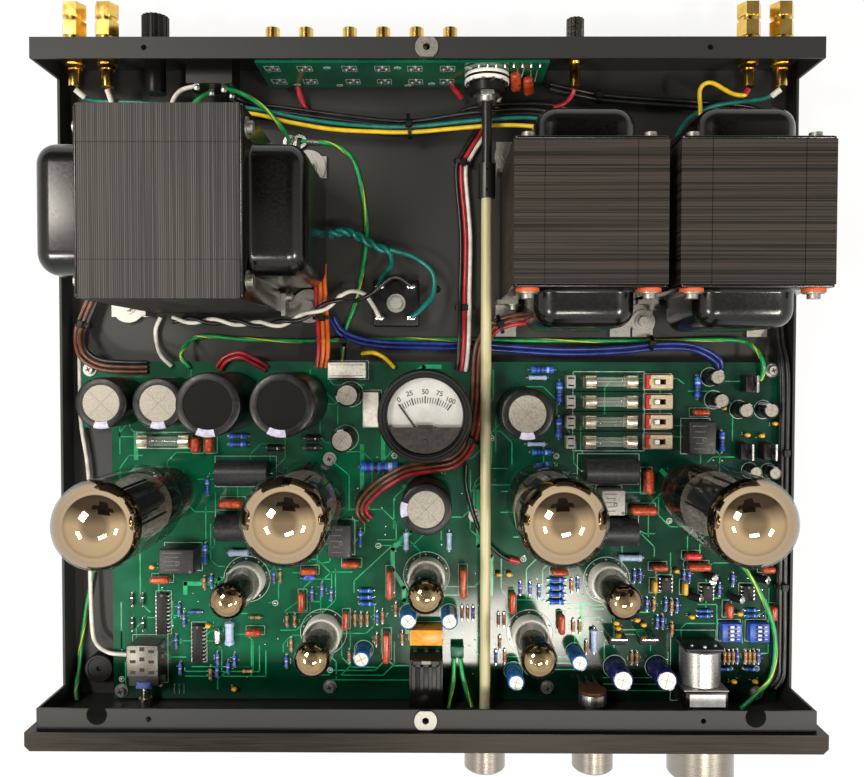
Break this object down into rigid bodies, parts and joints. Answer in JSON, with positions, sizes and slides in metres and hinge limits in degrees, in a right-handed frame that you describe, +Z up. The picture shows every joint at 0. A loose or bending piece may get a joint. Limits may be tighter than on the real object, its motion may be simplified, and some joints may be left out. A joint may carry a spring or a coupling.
{
  "type": "tube amplifier",
  "caption": "Tube integrated amplifier with its cover off: folded chassis, laminated transformers, glass tubes on a green board, bias meter, front knobs and gold rear terminals.",
  "frame": {"origin": "bottom centre of the amplifier, under the feet", "axes": "+Z up, the faceplate faces -Y, +X to the right seen from the front"},
  "size_m": [0.46, 0.4596, 0.1501],
  "materials": {
    "case_black": "fine satin texture",
    "face_black": "brushed, black anodised",
    "foot_rubber": "matt",
    "zinc": "zinc plated",
    "board_green": "solder mask",
    "gold_plate": "gold plated",
    "black_plastic": "moulded",
    "core_grey": "varnished laminations",
    "bell_black": "gloss, slight orange peel",
    "fibre_orange": "fibre",
    "tube_glass": "clear with a getter mirror at the crown",
    "base_black": "moulded",
    "socket_white": "glazed",
    "anode_grey": "carbonised",
    "sleeve_black": "shrink sleeve, bare aluminium tops",
    "sleeve_blue": "shrink sleeve",
    "film_grey": "wrapped film",
    "dipped_orange": "dipped resin",
    "box_white": "moulded",
    "resistor_blue": "lacquered",
    "chip_black": "moulded",
    "fuse_metal": "nickel plated clips and caps",
    "switch_red": "moulded",
    "dial_white": "printed",
    "pot_metal": "stamped",
    "wafer_white": "moulded",
    "rod_cream": "drawn rod",
    "knob_nickel": "brushed",
    "button_nickel": "brushed",
    "needle_black": "matt",
    "lever_white": "moulded",
    "ground_dark": "dark nickel",
    "wire_yellow": "insulation",
    "wire_teal": "insulation",
    "wire_brown": "insulation",
    "wire_black": "insulation"
  },
  "bodies": {
    "chassis": {"bottom_pan": "case_black", "rear_panel": "case_black", "front_panel": "case_black", "faceplate": "face_black", "rubber_feet": "foot_rubber", "steel_hardware": "zinc", "main_board": "board_green", "board_standoffs": "zinc", "input_board": "board_green", "rca_jacks": "gold_plate", "binding_posts": "gold_plate", "fuse_holder": "black_plastic", "power_inlet": "black_plastic", "mains_core": "core_grey", "mains_bells": "bell_black", "output_cores": "core_grey", "output_bells": "bell_black", "fibre_washers": "fibre_orange", "bridge_rectifier": "black_plastic", "power_tube_glass": "tube_glass", "power_tube_bases": "base_black", "small_tube_glass": "tube_glass", "small_tube_sockets": "socket_white", "tube_plates": "anode_grey", "filter_caps": "sleeve_black", "blue_caps": "sleeve_blue", "film_caps": "film_grey", "dipped_caps": "dipped_orange", "box_parts": "box_white", "resistors": "resistor_blue", "relays_and_chips": "chip_black", "fuses": "fuse_metal", "board_switches": "switch_red", "meter_case": "black_plastic", "meter_dial": "dial_white", "volume_control": "pot_metal", "balance_pot": "pot_metal", "selector_switch": "wafer_white", "power_switch": "pot_metal", "headphone_jack": "black_plastic", "rear_wiring": "wire_yellow", "supply_wiring": "wire_teal", "board_wiring": "wire_brown", "side_wiring": "wire_black"},
    "volume": {"volume_knob": "knob_nickel"},
    "balance": {"balance_knob": "knob_nickel"},
    "selector": {"selector_rod": "rod_cream", "selector_knob": "knob_nickel"},
    "power_button": {"power_button": "button_nickel"},
    "needle": {"meter_needle": "needle_black"},
    "lever_1": {"bias_lever_1": "lever_white"},
    "lever_2": {"bias_lever_2": "lever_white"},
    "lever_3": {"bias_lever_3": "lever_white"},
    "lever_4": {"bias_lever_4": "lever_white"},
    "nut_1": {"post_nut_1": "gold_plate"},
    "nut_2": {"post_nut_2": "gold_plate"},
    "nut_3": {"post_nut_3": "gold_plate"},
    "nut_4": {"post_nut_4": "gold_plate"},
    "ground_nut": {"ground_nut": "ground_dark"},
    "fuse_cap": {"fuse_cap": "black_plastic"}
  },
  "joints": [
    {"name": "volume_turn", "type": "hinge", "parent": "chassis", "child": "volume", "pos_m": [0.1655, -0.2, 0.0401], "axis": [0, 1, 0], "range_deg": [-150, 150]},
    {"name": "balance_turn", "type": "hinge", "parent": "chassis", "child": "balance", "pos_m": [0.1005, -0.2, 0.0401], "axis": [0, 1, 0], "range_deg": [-150, 150]},
    {"name": "selector_turn", "type": "hinge", "parent": "chassis", "child": "selector", "pos_m": [0.0355, 0, 0.0401], "axis": [0, 1, 0], "range_deg": [-30, 60]},
    {"name": "power_press", "type": "slide", "parent": "chassis", "child": "power_button", "axis": [0, 1, 0], "range_m": [0, 0.004], "stiffness_N_per_m": 200},
    {"name": "needle_swing", "type": "hinge", "parent": "chassis", "child": "needle", "pos_m": [-0.0005, -0.028, 0.0636], "axis": [0, 0, 1], "range_deg": [-70, 0]},
    {"name": "bias_slide_1", "type": "slide", "parent": "chassis", "child": "lever_1", "axis": [1, 0, 0], "range_m": [0, 0.004]},
    {"name": "bias_slide_2", "type": "slide", "parent": "chassis", "child": "lever_2", "axis": [1, 0, 0], "range_m": [0, 0.004]},
    {"name": "bias_slide_3", "type": "slide", "parent": "chassis", "child": "lever_3", "axis": [1, 0, 0], "range_m": [0, 0.004]},
    {"name": "bias_slide_4", "type": "slide", "parent": "chassis", "child": "lever_4", "axis": [1, 0, 0], "range_m": [0, 0.004]},
    {"name": "post_turn_1", "type": "hinge", "parent": "chassis", "child": "nut_1", "pos_m": [-0.2104, 0.22, 0.0375], "axis": [0, 1, 0], "continuous": true},
    {"name": "post_turn_2", "type": "hinge", "parent": "chassis", "child": "nut_2", "pos_m": [-0.191, 0.22, 0.0375], "axis": [0, 1, 0], "continuous": true},
    {"name": "post_turn_3", "type": "hinge", "parent": "chassis", "child": "nut_3", "pos_m": [0.191, 0.22, 0.0375], "axis": [0, 1, 0], "continuous": true},
    {"name": "post_turn_4", "type": "hinge", "parent": "chassis", "child": "nut_4", "pos_m": [0.2104, 0.22, 0.0375], "axis": [0, 1, 0], "continuous": true},
    {"name": "ground_turn", "type": "hinge", "parent": "chassis", "child": "ground_nut", "pos_m": [0.088, 0.21, 0.0375], "axis": [0, 1, 0], "continuous": true},
    {"name": "fuse_turn", "type": "hinge", "parent": "chassis", "child": "fuse_cap", "pos_m": [-0.162, 0.21, 0.0375], "axis": [0, 1, 0], "range_deg": [0, 90]}
  ]
}
